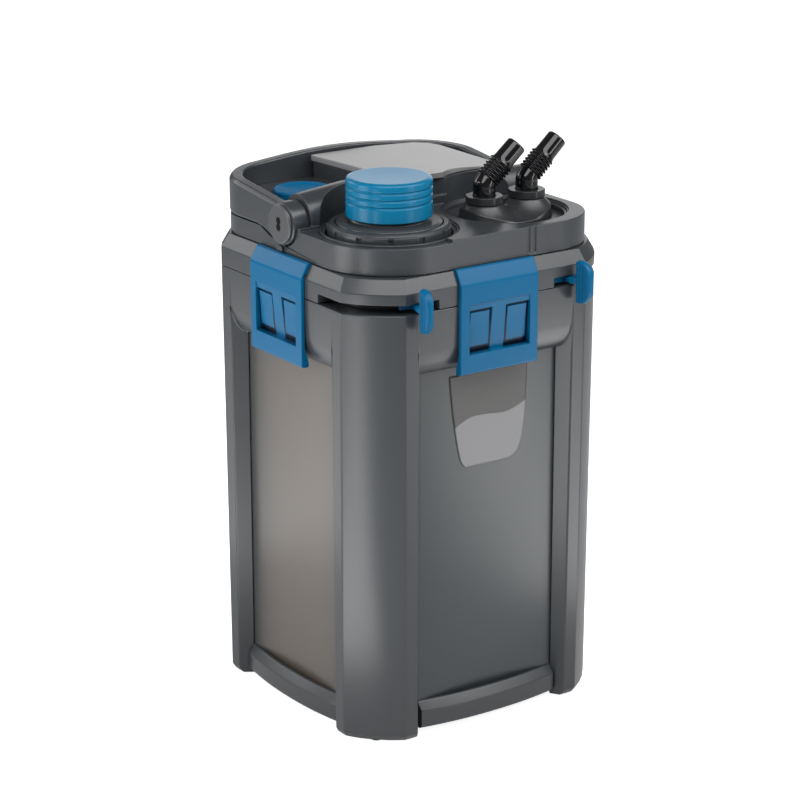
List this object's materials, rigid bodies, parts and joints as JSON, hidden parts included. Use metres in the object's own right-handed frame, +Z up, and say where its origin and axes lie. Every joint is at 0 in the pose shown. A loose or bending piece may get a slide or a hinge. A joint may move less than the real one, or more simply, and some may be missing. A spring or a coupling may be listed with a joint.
{
  "type": "external canister filter",
  "caption": "Tall square external canister filter with side clips, folding carry handle, lift-out prefilter under a ribbed turn cap and two angled barbed hose tails.",
  "frame": {"origin": "on the floor under the middle of the overall box, finger levers included", "axes": "+Z up, -Y is the front face with the label, -X is the face on its left"},
  "size_m": [0.262, 0.2774, 0.4722],
  "materials": {
    "grey_plastic": "satin",
    "smoke_tank": "translucent smoke",
    "blue_plastic": "satin",
    "silver_panel": "satin silver",
    "black_gloss": "gloss",
    "dark_plastic": "satin",
    "black_rubber": "matt",
    "blue_foam": "open foam",
    "clay_media": "rough",
    "ceramic": "polished ceramic",
    "label_film": "printed film, plain two-tone"
  },
  "bodies": {
    "filter_body": {"canister": "smoke_tank", "outer_frame": "grey_plastic", "base_tray": "grey_plastic", "foot_1": "black_rubber", "foot_2": "black_rubber", "foot_3": "black_rubber", "foot_4": "black_rubber", "head_gasket": "black_rubber", "head_base": "grey_plastic", "upper_housing": "grey_plastic", "motor_cover": "silver_panel", "cable_gland": "black_rubber", "pivot_cap_left": "grey_plastic", "pivot_cap_right": "grey_plastic", "media_basket_1": "dark_plastic", "media_basket_2": "dark_plastic", "media_basket_3": "dark_plastic", "filter_media_1": "blue_foam", "filter_media_2": "clay_media", "filter_media_3": "clay_media", "impeller_shaft": "ceramic", "pump_cover": "dark_plastic", "label_plate": "label_film"},
    "handle": {"carry_handle": "grey_plastic"},
    "ring": {"lock_ring": "grey_plastic"},
    "prefilter": {"prefilter_collar": "grey_plastic", "prefilter_foam_1": "blue_foam", "prefilter_foam_2": "blue_foam", "prefilter_foam_3": "blue_foam", "prefilter_foam_4": "blue_foam"},
    "cap": {"turn_cap": "blue_plastic"},
    "button": {"priming_button": "blue_plastic"},
    "connector": {"connector_block": "dark_plastic"},
    "nut_1": {"hose_nut_1": "dark_plastic"},
    "nut_2": {"hose_nut_2": "dark_plastic"},
    "elbow_1": {"hose_elbow_1": "black_gloss"},
    "elbow_2": {"hose_elbow_2": "black_gloss"},
    "front_clip": {"clip_front": "blue_plastic"},
    "right_clip": {"clip_right": "blue_plastic"},
    "back_clip": {"clip_back": "blue_plastic"},
    "left_clip": {"clip_left": "blue_plastic"},
    "left_lever": {"release_lever_left": "blue_plastic"},
    "right_lever": {"release_lever_right": "blue_plastic"},
    "rotor": {"impeller": "dark_plastic"}
  },
  "joints": [
    {"name": "handle_hinge", "type": "hinge", "parent": "filter_body", "child": "handle", "pos_m": [0, 0.00917, 0.414], "axis": [1, 0, 0], "range_deg": [0, 80]},
    {"name": "ring_turn", "type": "hinge", "parent": "filter_body", "child": "ring", "pos_m": [-0.057, -0.04933, 0.41], "axis": [0, 0, 1], "range_deg": [0, 30]},
    {"name": "prefilter_lift", "type": "slide", "parent": "filter_body", "child": "prefilter", "axis": [0, 0, 1], "range_m": [0, 0.12]},
    {"name": "cap_turn", "type": "hinge", "parent": "prefilter", "child": "cap", "pos_m": [-0.057, -0.04933, 0.44], "axis": [0, 0, 1], "range_deg": [0, 90]},
    {"name": "button_press", "type": "slide", "parent": "filter_body", "child": "button", "axis": [0, 0, -1], "range_m": [0, 0.005], "stiffness_N_per_m": 600, "springref_m": -0.003},
    {"name": "connector_lift", "type": "slide", "parent": "filter_body", "child": "connector", "axis": [0, 0, 1], "range_m": [0, 0.06]},
    {"name": "nut_1_turn", "type": "hinge", "parent": "connector", "child": "nut_1", "pos_m": [0.0363, -0.04933, 0.424], "axis": [0, 0, 1], "range_deg": [0, 180]},
    {"name": "nut_2_turn", "type": "hinge", "parent": "connector", "child": "nut_2", "pos_m": [0.0793, -0.04933, 0.424], "axis": [0, 0, 1], "range_deg": [0, 180]},
    {"name": "elbow_1_swivel", "type": "hinge", "parent": "connector", "child": "elbow_1", "pos_m": [0.0363, -0.04933, 0.43], "axis": [0, 0, 1], "range_deg": [-80, 80]},
    {"name": "elbow_2_swivel", "type": "hinge", "parent": "connector", "child": "elbow_2", "pos_m": [0.0793, -0.04933, 0.43], "axis": [0, 0, 1], "range_deg": [-80, 80]},
    {"name": "front_clip_hinge", "type": "hinge", "parent": "filter_body", "child": "front_clip", "pos_m": [0, -0.11463, 0.3863], "axis": [-1, 0, 0], "range_deg": [0, 95]},
    {"name": "right_clip_hinge", "type": "hinge", "parent": "filter_body", "child": "right_clip", "pos_m": [0.1223, 0.00767, 0.3863], "axis": [0, -1, 0], "range_deg": [0, 95]},
    {"name": "back_clip_hinge", "type": "hinge", "parent": "filter_body", "child": "back_clip", "pos_m": [0, 0.12997, 0.3863], "axis": [1, 0, 0], "range_deg": [0, 95]},
    {"name": "left_clip_hinge", "type": "hinge", "parent": "filter_body", "child": "left_clip", "pos_m": [-0.1223, 0.00767, 0.3863], "axis": [0, 1, 0], "range_deg": [0, 95]},
    {"name": "left_lever_hinge", "type": "hinge", "parent": "filter_body", "child": "left_lever", "pos_m": [-0.063, -0.05533, 0.366], "axis": [0, 0, -1], "range_deg": [0, 66]},
    {"name": "right_lever_hinge", "type": "hinge", "parent": "filter_body", "child": "right_lever", "pos_m": [0.063, -0.05533, 0.366], "axis": [0, 0, 1], "range_deg": [0, 66]},
    {"name": "rotor_spin", "type": "hinge", "parent": "filter_body", "child": "rotor", "pos_m": [0.04, 0.05267, 0.39], "axis": [0, 0, 1], "continuous": true}
  ]
}
